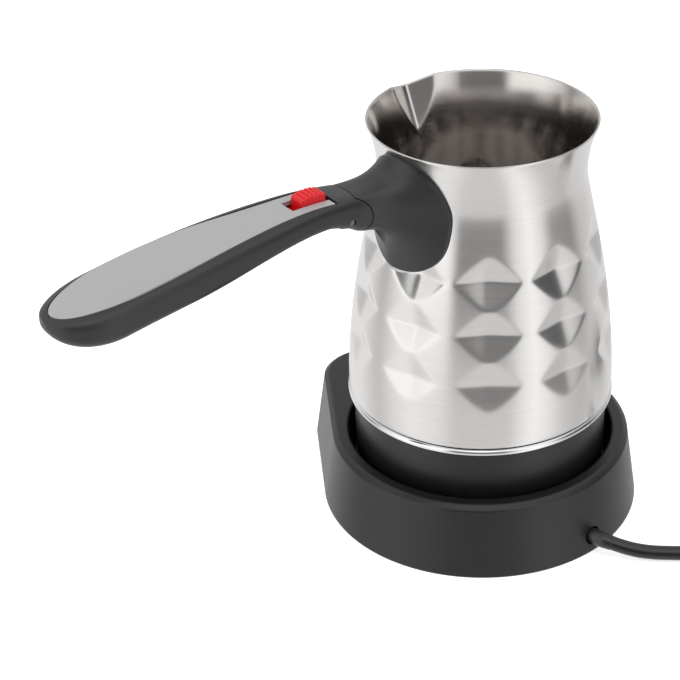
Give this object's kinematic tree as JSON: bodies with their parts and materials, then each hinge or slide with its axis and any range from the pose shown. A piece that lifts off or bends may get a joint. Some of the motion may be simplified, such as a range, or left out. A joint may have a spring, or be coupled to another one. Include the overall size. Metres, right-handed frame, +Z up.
{
  "type": "electric turkish coffee maker",
  "caption": "Cordless electric Turkish coffee pot with a waisted dimpled steel wall, a spout and a folding handle with a sliding latch, standing on a round power base with a mains cord.",
  "frame": {"origin": "the pot's axis on the surface the base stands on", "axes": "+X from the pot's axis along the handle, +Z up, the spout and the base's tail towards -Y"},
  "size_m": [0.3488, 0.1963, 0.153],
  "materials": {
    "stainless": "fine brushed stainless sheet, brushed round the pot",
    "chrome": "bright polished",
    "steel": "plain bright steel",
    "aluminium": "die cast, satin",
    "brass": "plain brass",
    "black_plastic": "satin black moulding",
    "grey_plastic": "satin grey moulding",
    "red_plastic": "satin gloss red moulding",
    "cord_black": "glossy black cord sheath",
    "rubber": "dark rubber"
  },
  "bodies": {
    "base": {"base_cover": "black_plastic", "base_plate": "black_plastic", "base_feet": "rubber", "base_screws": "steel", "power_socket": "black_plastic", "socket_contacts": "brass", "strain_relief": "cord_black", "power_cord": "cord_black", "cord_coil": "cord_black", "cord_tie": "cord_black", "plug_body": "cord_black", "plug_pins": "chrome"},
    "connector": {"pot_connector": "black_plastic", "connector_pins": "brass"},
    "pot": {"pot_body": "stainless", "trim_ring": "chrome", "heater_plate": "aluminium", "heating_element": "steel", "thermal_cutout": "brass", "heater_housing": "black_plastic", "housing_screws": "steel", "handle_bracket": "steel", "handle_collar": "black_plastic", "collar_screw": "steel"},
    "handle": {"grip_shell": "black_plastic", "grip_panel": "grey_plastic", "hinge_pin": "steel", "latch_spring": "steel"},
    "release": {"release_button": "red_plastic", "latch_bolt": "steel"}
  },
  "joints": [
    {"name": "pot_lift", "type": "slide", "parent": "base", "child": "connector", "axis": [0, 0, 1], "range_m": [0, 0.09]},
    {"name": "pot_swivel", "type": "hinge", "parent": "connector", "child": "pot", "pos_m": [0, 0, 0.02], "axis": [0, 0, 1], "continuous": true},
    {"name": "handle_fold", "type": "hinge", "parent": "pot", "child": "handle", "pos_m": [0.0615, 0, 0.1357], "axis": [0, 1, 0], "range_deg": [0, 70]},
    {"name": "release_slide", "type": "slide", "parent": "handle", "child": "release", "axis": [1, 0, 0], "range_m": [0, 0.003], "stiffness_N_per_m": 300, "deforming": ["latch_spring"]}
  ]
}
